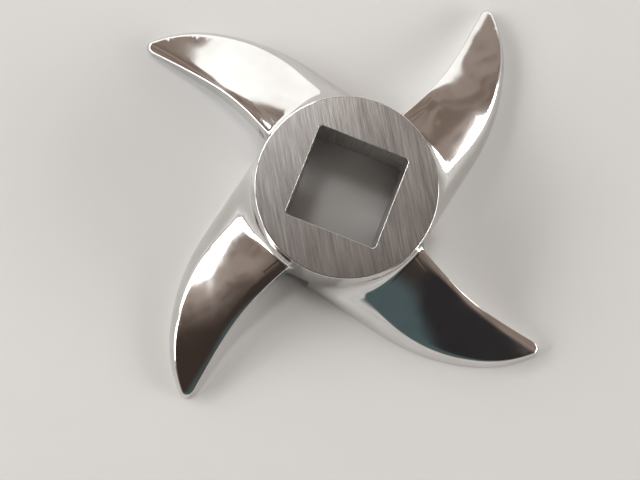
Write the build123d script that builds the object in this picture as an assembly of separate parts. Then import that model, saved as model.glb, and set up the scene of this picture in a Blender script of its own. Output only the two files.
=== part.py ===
"""Meat grinder knife: one investment-cast stainless piece with four swept arms.

The knife lies on its cutting lands, z = 0, with the boss of the hub upward.
The drive square is aligned with X and Y.  Millimetres throughout.
"""
from build123d import *
import os
from math import cos, hypot, radians, sin, tan

# ---------------------------------------------------------------- drive hub
square = 14.0            # drive hole across its flats
square_relief = 0.4      # corner relief left by the broach, along each flat
hub_height = 12.1        # boss face above the cutting plane
hub_face_radius = 13.35  # boss face, out to the corner that the rim round replaces
hub_draft = 10.0         # degrees the hub wall leans in from the vertical
hub_underside = 4.35     # underside of the hub above the cutting plane
rim_radius = 0.3         # polished round along the boss face
root_radius = 1.2        # cast fillet wherever an arm runs into the hub wall

# ---------------------------------------------------------------- arms, in plan
arm_count = 4
tip_lag = -15.25         # degrees from the X axis to the first tip line
lead_in = 1.0            # leading edge ahead of the tip line, under the hub
lead_in_at = 11.0        # distance of that point from the knife axis
lead_in_slope = -0.27    # its slope there
lead_bow = -1.28         # leading edge behind the tip line, at its deepest hollow
lead_bow_at = 23.5       # distance of that hollow from the knife axis
lead_out = 0.55          # leading edge ahead of the tip line, beyond the tip
lead_out_slope = 0.08    # its slope there
back_bite = 0.25         # how far the straight of the back cuts inside the foot of the hub wall
back_angle = 3.65        # degrees between that straight and the tip line
back_straight = 16.9     # length of that straight, from its foot inside the hub wall
back_radius = 33.3       # back beyond the straight
back_sweep = 28.4        # degrees that this arc turns
back_tip_radius = 20.3   # back beyond that arc, on to the tip
tip_radius = 1.1         # rounding of the tip
land_start = 11.5        # inner end of each cutting land, radius about the axis
land_heel = 74.5         # degrees from the tip line back to the heel of the land

# ---------------------------------------------------------------- arms, in section
crown_stations = (0.0, 15.0, 21.0, 27.5, 34.0, 45.0)   # section planes, from the axis
crown_heights = (9.2, 8.15, 7.15, 4.95, 3.1, 0.7)      # crown above the tip line there
crown_falls = (0.33, 0.34, 0.365, 0.225, 0.12, 0.03)   # mean slope from there backward
crown_width = 12.0       # width of arm over which that mean slope is taken
crown_entry = 0.35       # share of the mean slope found at the tip line
back_lean = 32.0         # degrees the back wall leans in from the vertical
shoulder_radius = 1.5    # round between crown and back wall

# ---------------------------------------------------------------- derived sizes
hub_base_radius = hub_face_radius + hub_height * tan(radians(hub_draft))
beyond = 4.0             # how far construction bodies run past what they shape
seam_lead = 8.0          # degrees ahead of a tip line where the hub wall's surface closes, off the arms
close_enough = 0.02      # how near an edge lies to the surface that it is picked by


def back_outline(height):
    """Back of one arm at a height: the straight that leaves the hub, then two tangent arcs."""
    inset = height * tan(radians(back_lean))
    along = Vector(cos(radians(back_angle)), sin(radians(back_angle)))
    outward = Vector(sin(radians(back_angle)), -cos(radians(back_angle)))
    foot = outward * (hub_base_radius - back_bite - inset)
    straight = Line(foot, foot + along * back_straight)
    middle = JernArc(straight @ 1, straight % 1, back_radius - inset, back_sweep)
    turn_to_tip = 90 - back_angle - back_sweep
    last = JernArc(middle @ 1, middle % 1, back_tip_radius - inset, turn_to_tip)
    return straight, middle, last


def inside_back(height):
    """Face of all that lies inside the back of one arm at a height."""
    straight, middle, last = back_outline(height)
    start, end = straight @ 0, last @ 1
    close = Polyline(end, (end.X, end.Y + beyond), (start.X, end.Y + beyond), start)
    return Pos(0, 0, height) * make_face([straight, middle, last, close])


def leading_edge():
    """The hollow leading edge, from under the hub to beyond the tip."""
    return Spline(
        (lead_in_at, lead_in),
        (lead_bow_at, lead_bow),
        (crown_stations[-1], lead_out),
        tangents=((1, lead_in_slope), (1, lead_out_slope)),
    )


def behind_leading_edge(turn_back):
    """Face of all that lies behind the leading edge, as far back as a ray turned that many degrees."""
    edge = leading_edge()
    start, end = edge @ 0, edge @ 1
    rear = Vector(cos(radians(-turn_back)), sin(radians(-turn_back))) * 2 * hub_base_radius
    close = Polyline(end, (end.X, rear.Y), rear, (0, 0), start)
    return make_face([edge, close])


def arm_plan():
    """Footprint of one arm, from inside the hub to the rounded tip."""
    plan = behind_leading_edge(90) & inside_back(0)
    tip = plan.vertices().sort_by(Axis.X)[-1]
    return fillet(tip, tip_radius)


def crown_section(station, height, fall):
    """Upright section under the crown: a parabola that steepens towards the back."""
    front, rear = beyond, -(crown_width + 2 * beyond)
    entry = crown_entry * fall
    bend = (fall - entry) / crown_width

    def top(y):
        return height + entry * y - bend * y * y

    middle = (front + rear) / 2
    slope_front = entry - 2 * bend * front
    control = (middle, top(front) + slope_front * (middle - front))
    curve = Bezier((front, top(front)), control, (rear, top(rear)))
    close = Polyline((rear, top(rear)), (rear, -hub_height), (front, -hub_height), (front, top(front)))
    plane = Plane(origin=(station, 0, 0), x_dir=(0, 1, 0), z_dir=(1, 0, 0))
    return plane * make_face([curve, close])


def is_shoulder(edge):
    """True for the edges where the crown meets the leaning back wall."""
    ends = (edge @ 0, edge @ 0.5, edge @ 1)
    above_floor = min(point.Z for point in ends) > close_enough
    runs_along = abs(ends[2].X - ends[0].X) > abs(ends[2].Z - ends[0].Z)
    return above_floor and runs_along and ends[1].Y < lead_bow


def arm_body():
    """One arm: crown and leaning back wall, joined by the shoulder round, cut to the footprint."""
    leaning = loft([inside_back(0), inside_back(hub_height)], ruled=True)
    crown = loft([crown_section(*row) for row in zip(crown_stations, crown_heights, crown_falls)])
    swept = leaning & crown
    swept = fillet([edge for edge in swept.edges() if is_shoulder(edge)], shoulder_radius)
    return swept & extrude(arm_plan(), hub_height)


def underside_relief():
    """What is hollow under the hub: the ring about the axis, and a notch ahead of each leading edge."""
    lands = Sketch()
    for k in range(arm_count):
        lands += Rot(0, 0, tip_lag + k * 360 / arm_count) * behind_leading_edge(land_heel)
    relief = Circle(hub_base_radius + beyond) - lands + Circle(land_start)
    return extrude(relief, hub_underside)


def on_hub_wall(edge):
    """True for an edge that an arm leaves on the drafted wall of the hub, and not for its seam."""
    points = [edge @ share for share in (0.05, 0.5, 0.95)]
    walls = [hub_base_radius - point.Z * tan(radians(hub_draft)) for point in points]
    gaps = [abs(hypot(point.X, point.Y) - wall) for point, wall in zip(points, walls)]
    inside = close_enough < points[1].Z < hub_height - close_enough
    seam = edge.geom_type == GeomType.LINE
    return max(gaps) < close_enough and inside and not seam


def drive_hole():
    """The broached square, with relieved corners."""
    profile = chamfer(Rectangle(square, square).vertices(), square_relief)
    return extrude(profile, 2 * hub_height)


def knife_body():
    """The whole casting."""
    arm = arm_body()
    boss = Cone(hub_base_radius, hub_face_radius, hub_height)
    knife = Pos(0, 0, hub_height / 2) * Rot(0, 0, tip_lag + seam_lead) * boss
    for k in range(arm_count):
        knife += Rot(0, 0, tip_lag + k * 360 / arm_count) * arm
    knife = fillet([edge for edge in knife.edges() if on_hub_wall(edge)], root_radius)
    rim = knife.faces().sort_by(Axis.Z)[-1].outer_wire().edges()
    knife = fillet(rim, rim_radius)
    return knife - underside_relief() - drive_hole()


os.makedirs("parts", exist_ok=True)
export_step(knife_body(), "parts/knife.step")
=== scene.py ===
"""Meat grinder knife: one polished stainless casting with four swept arms, lying on a pale floor.

The knife's surface is one field, a signed distance in millimetres, built from the hub, the crowns,
the leading edges and the leaning backs of the arms, with a rolling-ball round where they meet.
The mesh takes its points from that field and its shading from the field's gradient.  One quarter
is meshed about the first arm, whose tip line is the X axis, and is turned three times.
"""
from math import atan2, cos, hypot, pi, radians, sin, sqrt, tan

import bpy
import numpy as np
from mathutils import Matrix, Vector
from mathutils.geometry import delaunay_2d_cdt


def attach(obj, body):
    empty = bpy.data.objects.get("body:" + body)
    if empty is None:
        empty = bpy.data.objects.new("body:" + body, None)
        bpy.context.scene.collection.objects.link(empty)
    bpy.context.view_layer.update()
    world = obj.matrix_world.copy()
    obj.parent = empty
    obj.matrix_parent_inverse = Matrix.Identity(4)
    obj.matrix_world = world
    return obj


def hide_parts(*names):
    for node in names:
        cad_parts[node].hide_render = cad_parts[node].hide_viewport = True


MM = 0.001

# ---------------------------------------------------------------- hub, as in the solid
SQUARE = 14.0            # drive hole across its flats
SQUARE_RELIEF = 0.4      # corner relief left by the broach, along each flat
HUB_TOP = 12.1           # hub face above the cutting plane
HUB_FACE_RADIUS = 13.35
HUB_DRAFT = radians(10.0)
HUB_UNDERSIDE = 4.35     # underside of the hub above the cutting plane
HUB_BASE_RADIUS = HUB_FACE_RADIUS + HUB_TOP * tan(HUB_DRAFT)

# ---------------------------------------------------------------- arms, about the tip line, the X axis
ARMS = 4
TIP_LAG = radians(-15.25)             # from the world's X axis to the first tip line
LEAD_AT = (11.0, 23.5, 45.0)          # distances from the axis where the leading edge is given
LEAD_AHEAD = (1.0, -1.28, 0.55)       # leading edge ahead of the tip line there
LEAD_SLOPES = (-0.27, -0.055, 0.08)
BACK_BITE = 0.25         # how far the straight of the back cuts inside the foot of the hub wall
BACK_ANGLE = radians(3.65)            # between that straight and the tip line
BACK_STRAIGHT = 16.9     # length of that straight
BACK_RADIUS = 33.3       # back beyond the straight
BACK_SWEEP = radians(28.4)            # how far this arc turns
BACK_TIP_RADIUS = 20.3   # back beyond that arc, on to the tip
BACK_FOOT_LEAN = 0.27    # inset of the back wall per millimetre of height, at its foot
BACK_CURL = 0.1          # further inset, times the square of the height
TIP_ROUND = 1.14
LAND_START = 11.5        # inner end of each cutting land, radius about the axis
HEEL = radians(-74.5)    # from the tip line to the heel of the land
CROWN_AT = (0.0, 15.0, 21.0, 27.5, 34.0, 45.0)           # distances where the crown is given
CROWN_HEIGHTS = (9.2, 8.15, 7.15, 4.95, 3.1, 0.7)        # crown above the tip line there
CROWN_FALLS = (0.33, 0.345, 0.325, 0.235, 0.13, 0.03)    # mean slope from there backward
CROWN_WIDTH = 12.0       # width of arm over which that mean slope is taken
CROWN_ENTRY = 0.35       # share of the mean slope found at the tip line

# ---------------------------------------------------------------- rounds of the finished surface
RIM_ROUND = 0.13         # along the hub face
SHOULDER_AT = (13.0, 25.0, 38.0)      # root, middle and tip of an arm
SHOULDER_ROUNDS = (5.2, 3.2, 0.8)     # between crown and back there
SHOULDER_CHANGES = (0.0, -0.2, 0.0)
SHOULDER_FROM = 0.25     # share of the way from leading wall to back where this round takes over
SHOULDER_OVER = 0.625    # further share over which it does
LEAD_ROUND = 0.24        # between crown and leading wall
ROLL_WIDTH = 1.6         # strip along the leading edge where buffing rolled the crown over
ROLL_DROP = 0.22
CROWN_ROOT = 0.95        # hollow between a crown and the hub wall, behind the leading edge
REAR_ROOT = 5.0          # the same hollow at the rear of the arm, where it runs out into the back
UPRIGHT_ROOT = 1.9       # hollow between a leading wall and the hub wall
REAR_FROM = 3.0          # distance behind the tip line where the rear hollow begins to widen
REAR_OVER = 9.0          # distance over which it does
UPRIGHT_BLEND = 1.2      # width of the change from crown hollow to upright hollow
FLATTEST = 0.985         # two fields closer in direction than this cosine are rounded as if at it
HOLE_BREAK = 0.07        # broken edge round the drive hole

# ---------------------------------------------------------------- mesh
QUARTER = 2 * pi / ARMS
FILLET_EYE = (16.4, 1.85)     # plan point in the hollow of the upright root, from which it is seen whole
WALL_FROM = 17.0              # beyond this the leading wall is plain
BAY_RAYS = 8                  # columns of the side along the hub wall ahead of an arm
HOLLOW_RAYS = 17              # columns round the upright root
WALL_RAYS = 76                # columns along the plain leading wall
TIP_RAYS = 15                 # columns round the tip
TIP_OUTSIDE = 3.0             # distance from the tip's centre at which rays towards it start
UPPER_ROWS = 11               # points up a column above the hub's underside
LOWER_ROWS = 7                # points up a column below it
LOWER_SHARE = 0.66            # share of a low column that its lower part takes
SIDE_BELOW_CROWN = 0.55       # how far under the crown the side gives way to the top
TIP_FURTHER = 0.65            # further under, near the tip
FAN_FURTHER = 0.3             # and further still, round the tip
TIP_FROM = 35.5               # where a side nears the tip
TIP_OVER = 3.5
ROOT_TOP = 7.75               # the side goes no higher at the root
PLAN_CUT = 0.4                # height at which the plan of the side is taken
ON_LINE = 2e-4                # a point this near the leading edge's line is on it
LAND_RAYS = 40                # columns round the inner wall of a land
BACK_POINTS = 70              # points along the foot of a back
BACK_NEAR = ((4, 18, 33.4, 40), (-15.0, -14.13, -9.1, -3.0))     # plan line near that foot
BACK_MARGINS = (0.35, 0.3)    # left free at its two ends
BACK_OUTSIDE = 1.5            # how far outside it rays towards it start
RIM_POINTS = 91               # points along each row of the rim
RIM_RADII = HUB_FACE_RADIUS - RIM_ROUND * np.linspace(1.15, -0.02, 9)
RIM_FOOT = 0.55               # depth down the hub wall where its plain rows start
EDGE_DEPTHS = (*LEAD_ROUND * (1 - np.cos(np.radians((16, 32, 48, 64, 80)))), 0.42, 0.6)
LOWER_HEIGHTS = np.linspace(0, HUB_UNDERSIDE, LOWER_ROWS)
OUTSIDE = 18.0                # radius well outside the hub wall, where rays towards it start
REACH = 6.0                   # how far a ray of the side runs
BACK_REACH = 4.0              # how far a ray towards the foot of the back runs
HALVINGS = 26                 # halvings that close in on the surface along a ray
COARSE = 0.85                 # spacing of the first points of the top
FINEST = 0.07                 # no plan edge shorter than twice this is halved
FLATNESS = 0.0035             # furthest that an edge may run off the surface
TURN = 0.13                   # furthest that the surface may turn along an edge, in radians
REFINEMENTS = 7               # most rounds of halving
BOW = 0.002                   # hair by which points in line on the bounding rays are bowed apart
BOW_FROM = 6.0                # radius where that bow starts
BOW_LENGTH = 10.0
WELD_DIGITS = 4               # decimals of a millimetre that tell two corners apart
WELD_SHIFT = 3e-5             # keeps corners off the halfway marks of that rounding


# ================================================================ fields
def hermite(x, at, values, slopes):
    """Smooth curve through the values, and its slope."""
    at, values, slopes = np.array(at), np.array(values), np.array(slopes)
    span = np.clip(np.searchsorted(at, x) - 1, 0, len(at) - 2)
    width = at[span + 1] - at[span]
    t = (x - at[span]) / width
    rise = values[span + 1] - values[span]
    m0, m1 = slopes[span] * width, slopes[span + 1] * width
    cube, square = m0 + m1 - 2 * rise, 3 * rise - 2 * m0 - m1
    curve = values[span] + t * (m0 + t * (square + t * cube))
    slope = (m0 + t * (2 * square + 3 * t * cube)) / width
    return curve, slope


def even_slopes(at, values):
    """Slopes that make the curve through the values bend evenly, with straight ends."""
    width, rise = np.diff(at), np.diff(values)
    count = len(at)
    rows, sums = np.zeros((count, count)), np.zeros(count)
    for i, (w, r) in enumerate(zip(width, rise)):
        rows[i:i + 2, i:i + 2] += np.array(((2, 1), (1, 2))) / w
        sums[i:i + 2] += 3 * r / w ** 2
    return np.linalg.solve(rows, sums)


def lead_line(x):
    """Leading edge ahead of the tip line, and its slope."""
    return hermite(x, LEAD_AT, LEAD_AHEAD, LEAD_SLOPES)


def smooth(share):
    """Zero to one, with soft ends."""
    share = np.clip(share, 0, 1)
    return share * share * (3 - 2 * share)


def unit(*parts):
    """Gradient of length one from its three parts."""
    gradient = np.stack(np.broadcast_arrays(*parts), axis=-1)
    return gradient / np.linalg.norm(gradient, axis=-1, keepdims=True)


def fillet(a, b, radius):
    """Union of two fields, with a rolling-ball round in the hollow between them."""
    (value_a, grad_a), (value_b, grad_b) = a, b
    dot = np.clip((grad_a * grad_b).sum(axis=-1), -FLATTEST, FLATTEST)
    room_a, room_b = radius - value_a, radius - value_b
    share_a = (room_a - dot * room_b) / (1 - dot * dot)
    share_b = (room_b - dot * room_a) / (1 - dot * dot)
    reach = np.sqrt(np.maximum(room_a * share_a + room_b * share_b, 1e-12))
    inside = (share_a > 0) & (share_b > 0)
    value = np.where(inside, radius - reach, np.minimum(value_a, value_b))
    blended = (share_a[..., None] * grad_a + share_b[..., None] * grad_b) / reach[..., None]
    nearer = np.where((value_a < value_b)[..., None], grad_a, grad_b)
    return value, np.where(inside[..., None], blended, nearer)


def rounded(a, b, radius):
    """What two fields share, with a rolling-ball round along their edge."""
    value, gradient = fillet((-a[0], -a[1]), (-b[0], -b[1]), radius)
    return -value, -gradient


def hub(x, y, z):
    """The drafted boss with its polished rim."""
    r = np.hypot(x, y) + 1e-9
    wall = (r - HUB_BASE_RADIUS + z * tan(HUB_DRAFT)) * cos(HUB_DRAFT)
    wall_grad = unit(x / r, y / r, tan(HUB_DRAFT))
    face = z - HUB_TOP
    face_grad = unit(0 * x, 0 * x, 1.0)
    return rounded((wall, wall_grad), (face, face_grad), RIM_ROUND)


def leading_wall(x, y):
    """The upright hollow wall of an arm."""
    line, slope = lead_line(x)
    return (y - line) / np.sqrt(1 + slope * slope), unit(-slope, 1.0, 0.0)


def back_outline(x, y):
    """Distance outside the foot of an arm's back, and the outward direction, in plan."""
    out = np.array((sin(BACK_ANGLE), -cos(BACK_ANGLE)))
    along = np.array((cos(BACK_ANGLE), sin(BACK_ANGLE)))
    bend = out * (HUB_BASE_RADIUS - BACK_BITE) + along * BACK_STRAIGHT
    centre = bend - out * BACK_RADIUS
    turned = BACK_ANGLE + BACK_SWEEP
    out_2 = np.array((sin(turned), -cos(turned)))
    along_2 = np.array((cos(turned), sin(turned)))
    bend_2 = centre + out_2 * BACK_RADIUS
    centre_2 = bend_2 - out_2 * BACK_TIP_RADIUS
    point = np.stack((x, y), axis=-1)

    def arc(middle, radius):
        """Distance outside a circle, and the direction away from its middle."""
        away = point - middle
        far = np.linalg.norm(away, axis=-1)
        return far - radius, away / far[..., None]

    straight = (point - bend) @ out, np.broadcast_to(out, point.shape)
    first = arc(centre, BACK_RADIUS)
    last = arc(centre_2, BACK_TIP_RADIUS)
    past_1 = (point - bend) @ along > 0
    past_2 = (point - bend_2) @ along_2 > 0
    value = np.where(past_2, last[0], np.where(past_1, first[0], straight[0]))
    direction = np.where(past_2[..., None], last[1], np.where(past_1[..., None], first[1], straight[1]))
    return value, direction


def back_wall(x, y, z):
    """The leaning wall behind an arm."""
    outside, direction = back_outline(x, y)
    inset = z * (BACK_FOOT_LEAN + BACK_CURL * z)
    lean = BACK_FOOT_LEAN + 2 * BACK_CURL * z
    value = (outside + inset) / np.sqrt(1 + lean * lean)
    return value, unit(direction[..., 0], direction[..., 1], lean)


def crown_top(x, y):
    """Height of an arm's domed top and its two slopes: across the arm it is a parabola, whose height
    and fall change along the arm."""
    height, climb = hermite(x, CROWN_AT, CROWN_HEIGHTS, even_slopes(CROWN_AT, CROWN_HEIGHTS))
    fall, fall_change = hermite(x, CROWN_AT, CROWN_FALLS, even_slopes(CROWN_AT, CROWN_FALLS))
    shape = CROWN_ENTRY * y - (1 - CROWN_ENTRY) / CROWN_WIDTH * y * y
    slope_y = fall * (CROWN_ENTRY - 2 * (1 - CROWN_ENTRY) / CROWN_WIDTH * y)
    line, slope = lead_line(x)
    rolled = np.clip(1 - (line - y) / ROLL_WIDTH, 0, 1)
    roll = 2 * ROLL_DROP / ROLL_WIDTH * rolled
    top = height + fall * shape - ROLL_DROP * rolled ** 2
    return top, climb + fall_change * shape + roll * slope, slope_y - roll


def crown(x, y, z):
    """The domed top of an arm."""
    top, slope_x, slope_y = crown_top(x, y)
    steep = np.sqrt(1 + slope_x ** 2 + slope_y ** 2)
    return (z - top) / steep, unit(-slope_x, -slope_y, 1.0)


def arm(x, y, z):
    """One arm, whose tip line is the X axis."""
    lead, back = leading_wall(x, y), back_wall(x, y, z)
    side = rounded(lead, back, TIP_ROUND)
    inside_lead, inside_back = np.maximum(-lead[0], 1e-6), np.maximum(-back[0], 1e-6)
    across = inside_lead / (inside_lead + inside_back)
    on_back = smooth((across - SHOULDER_FROM) / SHOULDER_OVER)
    along = np.clip(x, SHOULDER_AT[0], SHOULDER_AT[-1])
    shoulder = hermite(along, SHOULDER_AT, SHOULDER_ROUNDS, SHOULDER_CHANGES)[0]
    radius = LEAD_ROUND + (shoulder - LEAD_ROUND) * on_back
    value, gradient = rounded(crown(x, y, z), side, radius)
    beyond_axis = -x > value
    value = np.where(beyond_axis, -x, value)
    return value, np.where(beyond_axis[..., None], (-1.0, 0.0, 0.0), gradient)


def root_radius(x, y, z):
    """The cast root is tight over the front of a crown, wider beside an upright leading wall, and
    widest at the rear."""
    by_wall = smooth(0.5 + (leading_wall(x, y)[0] - crown(x, y, z)[0]) / UPRIGHT_BLEND)
    rear = smooth((-y - REAR_FROM) / REAR_OVER)
    radius = CROWN_ROOT + (REAR_ROOT - CROWN_ROOT) * rear
    return radius + (UPRIGHT_ROOT - radius) * by_wall


def knife(points):
    """The field of the quarter about the first arm, with the foot of the back of the arm ahead."""
    x, y, z = points.T
    value, gradient = arm(y, -x, z)
    turned = np.stack((-gradient[:, 1], gradient[:, 0], gradient[:, 2]), axis=-1)
    core = fillet(hub(x, y, z), (value, turned), CROWN_ROOT)
    return fillet(core, arm(x, y, z), root_radius(x, y, z))


def cast(starts, directions, reach):
    """Points where rays from outside the knife meet it."""
    near, far = np.zeros(len(starts)), np.full(len(starts), float(reach))
    for _ in range(HALVINGS):
        middle = (near + far) / 2
        outside = knife(starts + directions * middle[:, None])[0] > 0
        near = np.where(outside, middle, near)
        far = np.where(outside, far, middle)
    return starts + directions * far[:, None]


def drop(plan):
    """Points of the top above plan points."""
    starts = np.column_stack((plan, np.full(len(plan), HUB_TOP + 1.0)))
    return cast(starts, np.tile((0.0, 0.0, -1.0), (len(plan), 1)), HUB_TOP + 1.5)


def polar(radius, angle):
    """Plan point."""
    return np.array((radius * cos(angle), radius * sin(angle)))


# ================================================================ mesh of a quarter
class Skin:
    """Faces of the quarter, each with its own corner points, corner normals and finish."""

    def __init__(self):
        self.corners, self.normals, self.finishes = [], [], []

    def add(self, points, normals, faces, finish):
        """Adds faces given by rows of indices, each wound to face the way its normals do."""
        for face in faces:
            p, n = points[list(face)], normals[list(face)]
            area = np.cross(p[1] - p[0], p[2] - p[0]) + np.cross(p[2] - p[0], p[-1] - p[0])
            order = 1 if area @ n.sum(axis=0) > 0 else -1
            self.corners.append(p[::order])
            self.normals.append(n[::order])
            self.finishes.append(finish)

    def add_grid(self, columns, normals, finish):
        """Adds the quads between neighbouring columns of points."""
        count, rows = columns.shape[:2]
        normals = np.broadcast_to(normals, columns.shape).reshape(-1, 3)
        self.add(columns.reshape(-1, 3), normals, grid_faces(count, rows), finish)

    def add_cast(self, columns, finish):
        """Adds columns of points that lie on the field, with its gradient for normals."""
        gradient = knife(columns.reshape(-1, 3))[1]
        self.add_grid(columns, gradient.reshape(columns.shape), finish)

    def add_underside(self, outline, height, finish):
        """Adds the level region within a plan outline, facing down."""
        faces = triangulate(outline, np.zeros((0, 2)))
        points = np.column_stack((outline, np.full(len(outline), height)))
        self.add(points, np.tile((0.0, 0.0, -1.0), (len(points), 1)), faces, finish)


def grid_faces(columns, rows):
    """Quads over points that run row by row within each column."""
    faces = []
    for i in range(columns - 1):
        for j in range(rows - 1):
            a = i * rows + j
            faces.append((a, a + 1, a + rows + 1, a + rows))
    return faces


def triangulate(outline, inner):
    """Plan triangles over the outline and the points within it; the outline's points come first.
    The plan is spread a hair sideways halfway along the bounding rays, so that points in line on
    them are bowed outward and give no slivers."""
    plan = np.vstack((outline, inner))
    radius, middle = np.hypot(*plan.T), HEEL + QUARTER / 2
    spread = 1 + BOW * np.sin(pi * np.clip((radius - BOW_FROM) / BOW_LENGTH, 0, 1))
    angle = middle + (np.arctan2(plan[:, 1], plan[:, 0]) - middle) * spread
    plan = radius[:, None] * np.column_stack((np.cos(angle), np.sin(angle)))
    loop = list(range(len(outline)))
    result = delaunay_2d_cdt([Vector(p) for p in plan], [], [loop], 1, 1e-7, True)
    order = [source[0] for source in result[3]]
    faces = np.array([[order[i] for i in face] for face in result[2]])
    return faces[inside_of(plan[faces].mean(axis=1), plan[:len(outline)])]


def inside_of(plan, outline):
    """Which plan points lie inside a closed outline."""
    x, y = plan.T
    within = np.zeros(len(plan), bool)
    for (x0, y0), (x1, y1) in zip(outline, np.roll(outline, -1, axis=0)):
        crosses = (y0 > y) != (y1 > y)
        if y0 != y1:
            within ^= crosses & (x < x0 + (y - y0) * (x1 - x0) / (y1 - y0))
    return within


def clear_of(plan, outline, gap):
    """Which plan points keep off the corners of an outline."""
    keep = np.ones(len(plan), bool)
    for corner in outline:
        keep &= np.hypot(*(plan - corner).T) > gap
    return keep


def hex_points(low, high, spacing):
    """Evenly spread plan points over a box."""
    rows = []
    for j, y in enumerate(np.arange(low[1], high[1], spacing * sqrt(3) / 2)):
        x = np.arange(low[0] + (j % 2) * spacing / 2, high[0], spacing)
        rows.append(np.column_stack((x, np.full(len(x), y))))
    return np.vstack(rows)


def upright(plan, heights):
    """Points at those heights over one plan point."""
    return np.column_stack((np.tile(plan, (len(heights), 1)), heights))


def level(directions):
    """Plan directions as level ones."""
    return np.column_stack((directions, np.zeros(len(directions))))


def cast_inward(ray, heights):
    """Points of the wall over a plan ray from the knife's axis."""
    return cast(upright(OUTSIDE * ray, heights), level(np.tile(-ray, (len(heights), 1))), REACH)


def tip_eye():
    """Plan centre of the tip's round: of the points that far behind the leading wall, the one as
    far from the back."""
    x = np.linspace(36.0, 41.0, 501)
    line, slope = lead_line(x)
    steep = np.sqrt(1 + slope * slope)
    eye = np.column_stack((x + TIP_ROUND * slope / steep, line - TIP_ROUND / steep))
    outside = back_outline(eye[:, 0], eye[:, 1])[0]
    return eye[np.argmin(abs(outside + TIP_ROUND))]


def side_rays():
    """Plan starts and inward directions of the rays that find the side, from bay to tip."""
    starts, directions = [], []
    eye = np.array(FILLET_EYE)
    eye_angle = atan2(eye[1], eye[0])
    for angle in np.linspace(HEEL + QUARTER, eye_angle, BAY_RAYS + 1)[:-1]:
        starts.append(polar(OUTSIDE, angle))
        directions.append(-polar(1.0, angle))
    wall_start = np.array((WALL_FROM, lead_line(WALL_FROM)[0]))
    final = atan2(*(wall_start - eye)[::-1])
    for angle in np.linspace(eye_angle - pi, final, HOLLOW_RAYS + 1)[:-1]:
        starts.append(eye)
        directions.append(polar(1.0, angle))
    tip = tip_eye()
    slope = lead_line(tip[0])[1]
    for x in np.linspace(WALL_FROM, tip[0] - TIP_ROUND * slope, WALL_RAYS):
        line, slope = lead_line(x)
        inward = np.array((slope, -1.0)) / hypot(slope, 1)
        starts.append(np.array((x, line)) - inward)
        directions.append(inward)
    first = atan2(1, -slope)
    last = atan2(*back_outline(*tip)[1][::-1])
    for angle in np.linspace(first, last, TIP_RAYS + 1)[1:]:
        starts.append(tip + polar(TIP_OUTSIDE, angle))
        directions.append(-polar(1.0, angle))
    return np.array(starts), np.array(directions)


def side_grid(starts, directions, bottoms, tops, rows):
    """Columns of points up the side, one for each ray, from its bottom height to its top."""
    shares = np.linspace(0, 1, rows)
    heights = bottoms[:, None] + (tops - bottoms)[:, None] * shares
    origins = np.column_stack((np.repeat(starts, rows, axis=0), heights.ravel()))
    points = cast(origins, level(np.repeat(directions, rows, axis=0)), REACH)
    return points.reshape(-1, rows, 3)


def side_columns(starts, directions):
    """Columns of the whole side above the hub's underside, and of its plain wall and tip below."""
    count = len(starts)
    foot = cast(np.column_stack((starts, np.full(count, PLAN_CUT))), level(directions), REACH)
    near_tip = np.clip((foot[:, 0] - TIP_FROM) / TIP_OVER, 0, 1)
    round_tip = np.clip((np.arange(count) - (count - TIP_RAYS - 1)) / TIP_RAYS, 0, 1)
    tops = crown_top(foot[:, 0], foot[:, 1])[0] - SIDE_BELOW_CROWN
    tops = np.minimum(tops - TIP_FURTHER * near_tip - FAN_FURTHER * round_tip, ROOT_TOP)
    split = np.minimum(HUB_UNDERSIDE, LOWER_SHARE * tops)
    plain = slice(BAY_RAYS + HOLLOW_RAYS, None)
    upper = side_grid(starts, directions, split, tops, UPPER_ROWS)
    lower = side_grid(starts[plain], directions[plain], 0 * split[plain], split[plain], LOWER_ROWS)
    return upper, lower


def wall_under_hub(shared, first):
    """Columns of the leading wall under the hub, from the first plain one in to the start of the
    land, by way of the shared points, where the side above stands on this wall."""
    inner_x = LAND_START
    for _ in range(6):        # each round comes closer to where the line is at the land's radius
        inner_x = sqrt(LAND_START ** 2 - lead_line(inner_x)[0] ** 2)
    x = [WALL_FROM, *shared[::-1, 0], *np.linspace(shared[0, 0], inner_x, 10)[1:]]
    line = lead_line(np.array(x))[0]
    columns = np.array([upright(point, LOWER_HEIGHTS) for point in zip(x, line)])
    columns[0] = first
    return columns


def land_ring(corner):
    """Columns of a land's inner wall, from its corner at the leading wall back to the heel."""
    angles = np.linspace(atan2(corner[1], corner[0]), HEEL, LAND_RAYS)
    ring = np.array([upright(polar(LAND_START, angle), LOWER_HEIGHTS) for angle in angles])
    ring[0, :, :2] = corner
    return ring


def land_heel():
    """Inner and outer column of the upright face at the heel of a land."""
    ray = polar(1.0, HEEL)
    return np.stack((upright(LAND_START * ray, LOWER_HEIGHTS), cast_inward(ray, LOWER_HEIGHTS)))


def bounding_profile(first_column):
    """Points on the bounding ray ahead: from the drive hole over the face and the rim, down the hub
    wall and down the side's first column."""
    ray = polar(1.0, HEEL + QUARTER)
    hole_radius = np.linalg.norm(hole_outline(HOLE_BREAK)[0])
    face = np.concatenate((np.linspace(hole_radius, RIM_RADII[0], 5)[:-1], RIM_RADII))
    heights = np.linspace(HUB_TOP - RIM_FOOT, first_column[-1, 2], 9)[:-1]
    return np.vstack((drop(face[:, None] * ray), cast_inward(ray, heights), first_column[::-1]))


def turned_back(profile):
    """A profile on the bounding ray ahead, moved to the one behind."""
    radii = np.hypot(profile[:, 0], profile[:, 1])
    return np.column_stack((radii[:, None] * polar(1.0, HEEL), profile[:, 2]))


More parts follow.
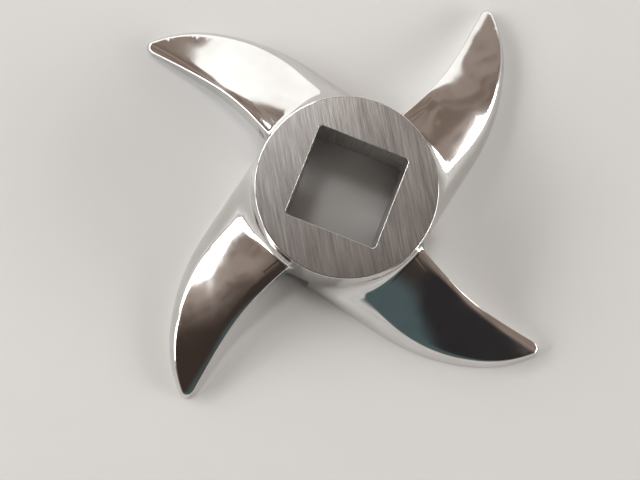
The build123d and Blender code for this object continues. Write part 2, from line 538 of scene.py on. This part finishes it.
def back_foot(start_x, end_x):
    """Points along the foot of the back, from the heel to the tip's last column."""
    x = np.linspace(start_x + BACK_MARGINS[0], end_x - BACK_MARGINS[1], BACK_POINTS)
    near = np.column_stack((x, np.interp(x, *BACK_NEAR)))
    outside, out = back_outline(near[:, 0], near[:, 1])
    starts = near - out * outside[:, None] + out * BACK_OUTSIDE
    return cast(level(starts), level(-out), BACK_REACH)


def hole_outline(step):
    """Corners of the drive hole grown by a step, between the quarter's two bounding rays."""
    half = SQUARE / 2 + step
    cut = half - SQUARE_RELIEF
    turn = -TIP_LAG
    flat_angle = HEEL + QUARTER - turn
    on_flat = half * tan(flat_angle)
    ring = ((half, on_flat), (half, -cut), (cut, -half), (on_flat, -half))
    c, s = cos(turn), sin(turn)
    return np.array([(c * x - s * y, s * x + c * y) for x, y in ring])


def top_outline(profile, heel, foot, tip_column, top_row):
    """Closed outline of the top: out along the bounding ray behind, down the heel, along the foot
    of the back, up the tip, back along the side, and in along the ray ahead to the drive hole."""
    hole = hole_outline(HOLE_BREAK)[1:3]
    return np.vstack((
        turned_back(profile),
        heel[-2::-1],
        foot,
        tip_column[:-1],
        top_row[::-1],
        profile[:-UPPER_ROWS][::-1],
        np.column_stack((hole, np.full(len(hole), HUB_TOP))),
    ))


def top_seeds(outline, top_row, directions):
    """First plan points of the top: rows that follow the rim and the side, and an even spread."""
    angles = np.linspace(HEEL, HEEL + QUARTER, RIM_POINTS)[1:-1]
    rim_rows = [polar(radius, angle) for radius in RIM_RADII for angle in angles]
    edge_rows = [top_row[:, :2] + directions * depth for depth in EDGE_DEPTHS]
    seeds = np.vstack((rim_rows, *edge_rows, hex_points((0, -20), (42, 8), COARSE)))
    seeds = seeds[inside_of(seeds, outline)]
    return seeds[clear_of(seeds, outline, 0.01)]


def refine(outline, seeds):
    """Adds points to the top until its triangles keep to the field; gives points, normals and faces."""
    plan, count = outline[:, :2], len(outline)
    points = np.vstack((outline, drop(seeds)))
    normals = knife(points)[1]
    for _ in range(REFINEMENTS):
        faces = triangulate(plan, points[count:, :2])
        edges = np.vstack((faces[:, (0, 1)], faces[:, (1, 2)], faces[:, (2, 0)]))
        starts, ends = np.unique(np.sort(edges, axis=1), axis=0).T
        bounding = (starts < count) & (ends < count)
        length = np.linalg.norm((points[starts] - points[ends])[:, :2], axis=1)
        turn = np.linalg.norm(normals[starts] - normals[ends], axis=1)
        middle = (points[starts] + points[ends]) / 2
        off = abs(knife(middle)[0])
        picked = ((off > FLATNESS) | (turn > TURN)) & (length > 2 * FINEST) & ~bounding
        if not picked.any():
            break
        more = drop(middle[picked, :2])
        points = np.vstack((points, more))
        normals = np.vstack((normals, knife(more)[1]))
    return points, normals, triangulate(plan, points[count:, :2])


def add_top(skin, outline, seeds):
    """Adds the brushed hub face and the polished crown and back."""
    points, normals, faces = refine(outline, seeds)
    on_face = points[faces][:, :, 2].min(axis=1) > HUB_TOP - 1e-3
    skin.add(points, normals, faces[on_face], "brushed")
    skin.add(points, normals, faces[~on_face], "polish")


def add_hole(skin):
    """Adds the walls of the drive hole, with their broken edges."""
    turns = np.radians((0, 30, 60, 90))
    steps = HOLE_BREAK * (1 - np.sin(turns))
    falls = HOLE_BREAK * (1 - np.cos(turns))
    levels = [*zip(steps, HUB_TOP - falls), *zip(steps[::-1], HUB_UNDERSIDE + falls[::-1])]
    rings = np.array([level(hole_outline(step)) + (0, 0, z) for step, z in levels])
    tilts = [*turns, *(pi - turns[::-1])]
    wall = len(turns) - 1
    for i in range(rings.shape[1] - 1):
        columns = rings[:, i:i + 2].transpose(1, 0, 2)
        p, q = columns[:, wall]
        inward = np.array((q[1] - p[1], p[0] - q[0], 0.0))
        inward *= -np.sign(inward @ p) / np.linalg.norm(inward)
        normals = np.array([inward * sin(tilt) + (0, 0, cos(tilt)) for tilt in tilts])
        for rows, finish in ((slice(0, wall + 1), "rim"), (slice(wall, wall + 2), "broached"),
                             (slice(wall + 1, None), "rim")):
            skin.add_grid(columns[:, rows], normals[rows], finish)


def quarter():
    """Skin of the quarter about the first arm, between two bounding rays a quarter turn apart."""
    skin = Skin()
    starts, directions = side_rays()
    upper, lower = side_columns(starts, directions)
    skin.add_cast(upper, "polish")
    skin.add_cast(lower, "polish")

    bay = upper[:BAY_RAYS + HOLLOW_RAYS, 0]
    off_wall = np.argmax(abs(bay[:, 1] - lead_line(bay[:, 0])[0]) < ON_LINE)
    shared = bay[off_wall:]
    wall = wall_under_hub(shared, lower[0])
    skin.add_grid(wall, leading_wall(wall[..., 0], wall[..., 1])[1], "relief")
    ring = land_ring(wall[-1, 0, :2])
    skin.add_grid(ring, -ring * (1, 1, 0) / LAND_START, "relief")
    heel = land_heel()
    ray = polar(1.0, HEEL)
    skin.add_grid(heel, (ray[1], -ray[0], 0.0), "relief")

    profile = bounding_profile(upper[0])
    foot = back_foot(heel[1, 0, 0], lower[-1, 0, 0])
    tip_column = np.vstack((lower[-1], upper[-1, 1:]))
    outline = top_outline(profile, heel[1], foot, tip_column, upper[:, -1])
    add_top(skin, outline, top_seeds(outline[:, :2], upper[:, -1], directions))

    land = np.vstack((ring[::-1, 0], wall[-2::-1, 0], lower[1:, 0], foot[::-1], heel[1, :1]))
    skin.add_underside(land[:, :2], 0.0, "ground")
    hub_under = np.vstack((
        ring[::-1, -1, :2],
        wall[-2:len(shared) - 1:-1, -1, :2],
        bay[off_wall - 1::-1, :2],
        [polar(LAND_START, HEEL + QUARTER)],
        hole_outline(HOLE_BREAK),
    ))
    skin.add_underside(hub_under, HUB_UNDERSIDE, "relief")
    add_hole(skin)
    return skin


# ================================================================ finishes
class Surface:
    """Node material under construction: a metal whose colour, gloss and relief come from nodes."""

    def __init__(self, name):
        self.material = bpy.data.materials.new(name)
        self.material.use_nodes = True
        self.nodes = self.material.node_tree.nodes
        self.links = self.material.node_tree.links
        self.shader = self.nodes["Principled BSDF"]
        self.place = self.nodes.new("ShaderNodeTexCoord").outputs["Object"]
        self.relief = None

    def link(self, source, target):
        """Joins two sockets."""
        self.links.new(source, target)

    def noise(self, size, detail=2.0, rough=0.5, stretch=(1, 1, 1), turn=0.0, distortion=0.0):
        """Noise whose features are about size metres wide, stretched along turned axes."""
        mapping = self.nodes.new("ShaderNodeMapping")
        mapping.vector_type = "TEXTURE"
        mapping.inputs["Rotation"].default_value = (0, 0, turn)
        mapping.inputs["Scale"].default_value = [size * share for share in stretch]
        self.link(self.place, mapping.inputs["Vector"])
        noise = self.nodes.new("ShaderNodeTexNoise")
        noise.inputs["Scale"].default_value = 1.0
        noise.inputs["Detail"].default_value = detail
        noise.inputs["Roughness"].default_value = rough
        noise.inputs["Distortion"].default_value = distortion
        self.link(mapping.outputs["Vector"], noise.inputs["Vector"])
        return noise.outputs["Fac"]

    def ranged(self, source, low, high, start=0.3, end=0.7):
        """The source's middle range turned into low to high."""
        span = self.nodes.new("ShaderNodeMapRange")
        span.inputs["From Min"].default_value = start
        span.inputs["From Max"].default_value = end
        span.inputs["To Min"].default_value = low
        span.inputs["To Max"].default_value = high
        self.link(source, span.inputs["Value"])
        return span.outputs["Result"]

    def combine(self, operation, first, second):
        """Maths on two sources."""
        maths = self.nodes.new("ShaderNodeMath")
        maths.operation = operation
        self.link(first, maths.inputs[0])
        self.link(second, maths.inputs[1])
        return maths.outputs["Value"]

    def tint(self, source, dark, light):
        """Colour between dark and light."""
        mix = self.nodes.new("ShaderNodeMix")
        mix.data_type = "RGBA"
        mix.inputs["A"].default_value = (*dark, 1)
        mix.inputs["B"].default_value = (*light, 1)
        self.link(source, mix.inputs["Factor"])
        self.link(mix.outputs["Result"], self.shader.inputs["Base Color"])

    def bump(self, source, height):
        """Adds relief of that height in metres."""
        bump = self.nodes.new("ShaderNodeBump")
        bump.inputs["Distance"].default_value = height
        self.link(source, bump.inputs["Height"])
        if self.relief:
            self.link(self.relief, bump.inputs["Normal"])
        self.relief = bump.outputs["Normal"]
        self.link(self.relief, self.shader.inputs["Normal"])

    def rough(self, source):
        """Drives the roughness."""
        self.link(source, self.shader.inputs["Roughness"])

    def metal(self):
        """Finishes as bare metal."""
        self.shader.inputs["Metallic"].default_value = 1.0
        return self.material


def polished():
    """Buffed casting: nearly a mirror, with orange peel, slow waves and a few fine scratches."""
    steel = Surface("polished_stainless")
    clouds = steel.ranged(steel.noise(0.006, 3.0), 0.0, 1.0)
    steel.tint(clouds, (0.70, 0.685, 0.665), (0.78, 0.77, 0.755))
    steel.rough(steel.ranged(steel.noise(0.0035, 4.0, 0.6), 0.07, 0.13))
    steel.bump(steel.noise(0.006, 1.0, 0.4), 0.00009)
    steel.bump(steel.noise(0.0007, 2.0, 0.5), 0.0000008)
    scratches = steel.noise(0.0006, 2.0, 0.5, (0.14, 4.0, 1.0), radians(20), 0.3)
    steel.bump(steel.ranged(scratches, 0, 1, 0.62, 0.7), 0.0000004)
    return steel.metal()


def brushed():
    """Ground hub face: fine straight lay, with streaks of different depth."""
    steel = Surface("brushed_hub_face")
    lay = radians(122.0)
    fine = steel.noise(0.00009, 3.0, 0.65, (45.0, 1.0, 1.0), lay)
    streaks = steel.noise(0.00035, 3.0, 0.65, (20.0, 1.0, 1.0), lay)
    clouds = steel.noise(0.007, 2.0, 0.5, (1.6, 1.0, 1.0), lay)
    shade = steel.combine("MULTIPLY", steel.ranged(fine, 0.45, 1.0), steel.ranged(streaks, 0.5, 1.0))
    steel.tint(shade, (0.15, 0.138, 0.13), (0.70, 0.68, 0.665))
    steel.rough(steel.ranged(clouds, 0.30, 0.42))
    steel.bump(fine, 0.000012)
    steel.bump(streaks, 0.00003)
    return steel.metal()


def rim():
    """Bright line where the hub's edges were buffed over."""
    steel = Surface("buffed_rim")
    steel.tint(steel.ranged(steel.noise(0.002, 3.0), 0, 1), (0.76, 0.75, 0.74), (0.86, 0.85, 0.84))
    steel.rough(steel.ranged(steel.noise(0.001, 3.0), 0.14, 0.24))
    return steel.metal()


def ground():
    """Cutting lands, ground flat along one lay."""
    steel = Surface("ground_land")
    lay = steel.noise(0.00009, 3.0, 0.6, (60.0, 1.0, 1.0), radians(30))
    steel.tint(steel.ranged(lay, 0, 1), (0.58, 0.575, 0.57), (0.76, 0.755, 0.75))
    steel.rough(steel.ranged(steel.noise(0.004), 0.2, 0.3))
    steel.bump(lay, 0.00001)
    return steel.metal()


def relief():
    """Hidden faces under the hub, as cast and blasted."""
    steel = Surface("blasted_relief")
    grain = steel.noise(0.00035, 3.0, 0.6)
    steel.tint(steel.ranged(steel.noise(0.004, 3.0), 0, 1), (0.36, 0.35, 0.34), (0.50, 0.49, 0.48))
    steel.rough(steel.ranged(grain, 0.45, 0.6))
    steel.bump(grain, 0.00004)
    return steel.metal()


def broached():
    """Walls of the drive hole, with the broach's strokes from face to face."""
    steel = Surface("broached_hole")
    strokes = steel.noise(0.00016, 3.0, 0.6, (1.0, 1.0, 60.0))
    steel.tint(steel.ranged(strokes, 0, 1), (0.36, 0.34, 0.32), (0.60, 0.58, 0.56))
    steel.rough(steel.ranged(steel.noise(0.003, 3.0), 0.3, 0.42))
    steel.bump(strokes, 0.00003)
    return steel.metal()


FINISHES = {
    "polish": polished,
    "brushed": brushed,
    "rim": rim,
    "ground": ground,
    "relief": relief,
    "broached": broached,
}


# ================================================================ whole knife
def round_the_axis(points):
    """The quarter's points or normals turned to each arm in turn."""
    turned = []
    for k in range(ARMS):
        angle = TIP_LAG + k * QUARTER
        c, s = cos(angle), sin(angle)
        turned.append(points @ np.array(((c, s, 0), (-s, c, 0), (0, 0, 1))))
    return np.vstack(turned)


def build_knife():
    """One welded mesh of the four quarters, with the field's gradient as its shading."""
    skin = quarter()
    points = round_the_axis(np.vstack(skin.corners))
    normals = round_the_axis(np.vstack(skin.normals))
    _, keep, index = np.unique(np.round(points + WELD_SHIFT, WELD_DIGITS), axis=0,
                               return_index=True, return_inverse=True)
    index = index.ravel()
    faces, corner_normals, materials = [], [], []
    names, start = list(FINISHES), 0
    for corner, finish in zip(skin.corners * ARMS, skin.finishes * ARMS):
        rows = index[start:start + len(corner)]
        kept = [i for i in range(len(rows)) if rows[i] != rows[i - 1]]
        if len(kept) > 2:
            faces.append([int(rows[i]) for i in kept])
            corner_normals.extend(tuple(normals[start + i]) for i in kept)
            materials.append(names.index(finish))
        start += len(corner)
    mesh = bpy.data.meshes.new("knife_body")
    mesh.from_pydata((points[keep] * MM).tolist(), [], faces)
    for make in FINISHES.values():
        mesh.materials.append(make())
    mesh.polygons.foreach_set("use_smooth", [True] * len(faces))
    mesh.polygons.foreach_set("material_index", materials)
    mesh.normals_split_custom_set(corner_normals)
    body = bpy.data.objects.new("knife_body", mesh)
    bpy.context.scene.collection.objects.link(body)
    return body


# ================================================================ studio
CAMERA_AT = (-1.709, -17.159, 105.919)     # millimetres
CAMERA_RIGHT = (0.92926, 0.36705, 0.04185)
CAMERA_UP = (-0.36931, 0.92587, 0.07981)
CAMERA_LENS = 36.966     # millimetres, on a sensor 36 wide
PICTURE_UP = 111.7       # degrees from the X axis to the top of the picture


def add_camera():
    """Camera at the photograph's viewing angle."""
    camera = bpy.data.objects.new("camera", bpy.data.cameras.new("camera"))
    bpy.context.scene.collection.objects.link(camera)
    right, up = Vector(CAMERA_RIGHT), Vector(CAMERA_UP)
    turn = Matrix((right, up, right.cross(up))).transposed().to_4x4()
    camera.matrix_world = Matrix.Translation(Vector(CAMERA_AT) * MM) @ turn
    camera.data.sensor_width = 36.0
    camera.data.lens = CAMERA_LENS
    camera.data.clip_start = 0.005
    bpy.context.scene.camera = camera


def pale(name, glow):
    """Plain pale board; to the camera and in reflections it glows by a share of plain white."""
    material = bpy.data.materials.new(name)
    material.use_nodes = True
    nodes, links = material.node_tree.nodes, material.node_tree.links
    shader = nodes["Principled BSDF"]
    shader.inputs["Base Color"].default_value = (0.80, 0.80, 0.79, 1)
    shader.inputs["Roughness"].default_value = 0.9
    shader.inputs["Specular IOR Level"].default_value = 0.1
    if glow:
        path = nodes.new("ShaderNodeLightPath")
        seen = nodes.new("ShaderNodeMath")
        seen.operation = "MAXIMUM"
        links.new(path.outputs["Is Camera Ray"], seen.inputs[0])
        links.new(path.outputs["Is Glossy Ray"], seen.inputs[1])
        share = nodes.new("ShaderNodeMath")
        share.operation = "MULTIPLY"
        share.inputs[1].default_value = glow
        links.new(seen.outputs["Value"], share.inputs[0])
        shader.inputs["Emission Color"].default_value = (1, 1, 0.99, 1)
        links.new(share.outputs["Value"], shader.inputs["Emission Strength"])
    return material


def add_board(name, size, place, turn, glow):
    """Flat board of the studio."""
    bpy.ops.mesh.primitive_plane_add(size=1.0, location=place, rotation=turn)
    board = bpy.context.object
    board.name = name
    board.scale = (*size, 1)
    board.data.materials.append(pale(name, glow))


def toward(azimuth, elevation, distance):
    """Place at that distance from the knife; azimuth 0 is up in the picture, turning left."""
    around, above = radians(azimuth + PICTURE_UP), radians(elevation)
    away = distance * cos(above)
    return Vector((away * cos(around), away * sin(around), distance * sin(above)))


def add_lamp(name, place, size, power):
    """Square soft lamp that faces the knife."""
    lamp = bpy.data.lights.new(name, "AREA")
    lamp.shape = "RECTANGLE"
    lamp.size, lamp.size_y = size
    lamp.energy = power
    piece = bpy.data.objects.new(name, lamp)
    piece.location = place
    piece.rotation_euler = (-place).to_track_quat("-Z", "Y").to_euler()
    bpy.context.scene.collection.objects.link(piece)


ROOM = (0.36, 0.29, 0.25)
UNEVEN = (0.22, 0.165, 0.135)
ZONES = (     # aim, cosine to it where a zone starts and where it is full, tone
    ((0, 0, 1), 0.80, 0.98, (0.17, 0.13, 0.105)),                      # overhead
    (toward(142, 57, 1), 0.78, 0.95, (0.050, 0.036, 0.029)),           # front left, high
    (toward(172, 26, 1), 0.80, 0.93, (0.085, 0.120, 0.125)),           # front, low
    (toward(212, 46, 1), 0.90, 0.975, (0.030, 0.028, 0.030)),          # the viewer, front right
    ((0, 0, -1), -0.22, -0.10, (0.66, 0.65, 0.63)),                    # horizon and below
)


class Room:
    """World colour under construction, from the direction that is looked in."""

    def __init__(self, world, colour):
        self.nodes, self.links = world.node_tree.nodes, world.node_tree.links
        self.direction = self.nodes.new("ShaderNodeTexCoord").outputs["Generated"]
        self.colour = self.nodes.new("ShaderNodeRGB").outputs["Color"]
        self.colour.default_value = (*colour, 1)

    def nearness(self, aim):
        """How nearly the direction is the aim, as a cosine."""
        near = self.nodes.new("ShaderNodeVectorMath")
        near.operation = "DOT_PRODUCT"
        near.inputs[1].default_value = aim
        self.links.new(self.direction, near.inputs[0])
        return near.outputs["Value"]

    def unevenness(self):
        """Soft swirls."""
        swirls = self.nodes.new("ShaderNodeTexNoise")
        swirls.inputs["Scale"].default_value = 5.0
        swirls.inputs["Detail"].default_value = 4.0
        swirls.inputs["Distortion"].default_value = 1.2
        self.links.new(self.direction, swirls.inputs["Vector"])
        return swirls.outputs["Fac"]

    def blend(self, value, start, full, tone):
        """Turns the colour to a tone as the value goes from start to full."""
        share = self.nodes.new("ShaderNodeMapRange")
        share.interpolation_type = "SMOOTHSTEP"
        share.inputs["From Min"].default_value = start
        share.inputs["From Max"].default_value = full
        self.links.new(value, share.inputs["Value"])
        mix = self.nodes.new("ShaderNodeMix")
        mix.data_type = "RGBA"
        mix.inputs["B"].default_value = (*tone, 1)
        self.links.new(share.outputs["Result"], mix.inputs["Factor"])
        self.links.new(self.colour, mix.inputs["A"])
        self.colour = mix.outputs["Result"]


def add_world():
    """Dim warm room, darker overhead and towards the front, a little uneven, and pale from the
    horizon down."""
    world = bpy.data.worlds.new("studio")
    world.use_nodes = True
    room = Room(world, ROOM)
    room.blend(room.unevenness(), 0.44, 0.60, UNEVEN)
    for aim, start, full, tone in ZONES:
        room.blend(room.nearness(aim), start, full, tone)
    room.links.new(room.colour, room.nodes["Background"].inputs["Color"])
    bpy.context.scene.world = world


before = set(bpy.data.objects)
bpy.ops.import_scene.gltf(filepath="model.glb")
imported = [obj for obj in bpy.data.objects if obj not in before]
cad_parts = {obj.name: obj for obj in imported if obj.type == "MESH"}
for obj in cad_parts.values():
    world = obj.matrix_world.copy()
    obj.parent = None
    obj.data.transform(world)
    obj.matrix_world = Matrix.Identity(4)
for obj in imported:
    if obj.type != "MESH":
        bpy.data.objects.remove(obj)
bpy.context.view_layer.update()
bpy.context.scene.view_settings.view_transform = "Standard"
add_camera()
add_board("pale_floor", (3.0, 3.0), (0, 0, 0), (0, 0, 0), 0.0)
backdrop_turn = (radians(90), 0, radians(PICTURE_UP - 90))
add_board("pale_backdrop", (1.8, 0.56), toward(0, 23, 0.69), backdrop_turn, 0.55)
add_world()
for azimuth in (54, 76, 98):
    add_lamp(f"window_left_{azimuth}", toward(azimuth, 22, 1.0), (0.31, 0.34), 2.9)
add_lamp("window_right", toward(-100, 15, 1.0), (0.75, 0.28), 6.5)
add_lamp("top", toward(20, 65, 1.2), (0.25, 0.18), 2.0)

body = build_knife()
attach(body, "root")
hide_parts("knife")
